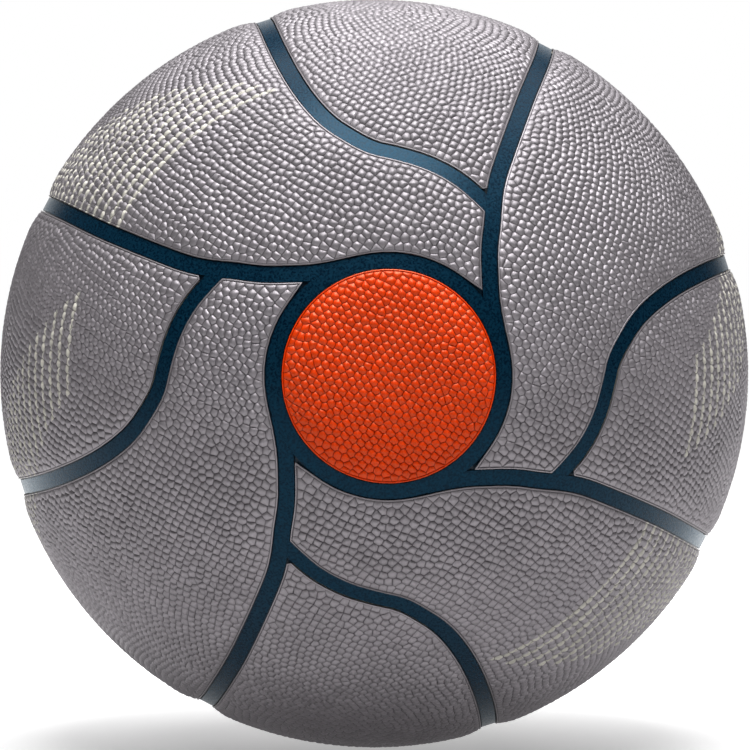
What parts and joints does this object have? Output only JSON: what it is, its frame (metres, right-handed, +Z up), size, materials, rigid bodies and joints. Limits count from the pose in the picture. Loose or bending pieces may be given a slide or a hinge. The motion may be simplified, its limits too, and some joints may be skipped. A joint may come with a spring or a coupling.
{
  "type": "basketball",
  "caption": "Indoor and outdoor basketball with round disc panels, a pinwheel of long swirl panels, wide rubber channels, and a replaceable valve plug.",
  "frame": {"origin": "centre of the ball", "axes": "+Z up as in the picture, -Y out of the middle of the front disc towards the viewer, +Y out of the valve in the back disc, +X to the viewer's right"},
  "size_m": [0.243, 0.2429, 0.243],
  "materials": {
    "disc_cover": "pebbled composite leather, satin",
    "swirl_cover": "pebbled composite leather with a pale satin sheen",
    "channel_rubber": "fine grained, matte",
    "foam": "closed cell foam, matte",
    "carcass_rubber": "moulded, matte",
    "winding": "wound nylon thread",
    "bladder": "smooth butyl",
    "valve_rubber": "smooth, slightly dusty"
  },
  "bodies": {
    "ball": {"front_disc_panel": "disc_cover", "back_disc_panel": "disc_cover", "swirl_panel_1": "swirl_cover", "swirl_panel_2": "swirl_cover", "swirl_panel_3": "swirl_cover", "swirl_panel_4": "swirl_cover", "swirl_panel_5": "swirl_cover", "swirl_panel_6": "swirl_cover", "swirl_panel_7": "swirl_cover", "swirl_panel_8": "swirl_cover", "front_disc_foam": "foam", "back_disc_foam": "foam", "swirl_foam_1": "foam", "swirl_foam_2": "foam", "swirl_foam_3": "foam", "swirl_foam_4": "foam", "swirl_foam_5": "foam", "swirl_foam_6": "foam", "swirl_foam_7": "foam", "swirl_foam_8": "foam", "front_ring_strip": "channel_rubber", "back_ring_strip": "channel_rubber", "arm_strip_1": "channel_rubber", "arm_strip_2": "channel_rubber", "arm_strip_3": "channel_rubber", "arm_strip_4": "channel_rubber", "branch_strip_1": "channel_rubber", "branch_strip_2": "channel_rubber", "branch_strip_3": "channel_rubber", "branch_strip_4": "channel_rubber", "rubber_carcass": "carcass_rubber", "nylon_winding": "winding", "butyl_bladder": "bladder", "valve_housing": "bladder"},
    "plug": {"valve_plug": "valve_rubber"}
  },
  "joints": [
    {"name": "valve_plug_pull", "type": "slide", "parent": "ball", "child": "plug", "axis": [0, 1, 0], "range_m": [0, 0.016]}
  ]
}
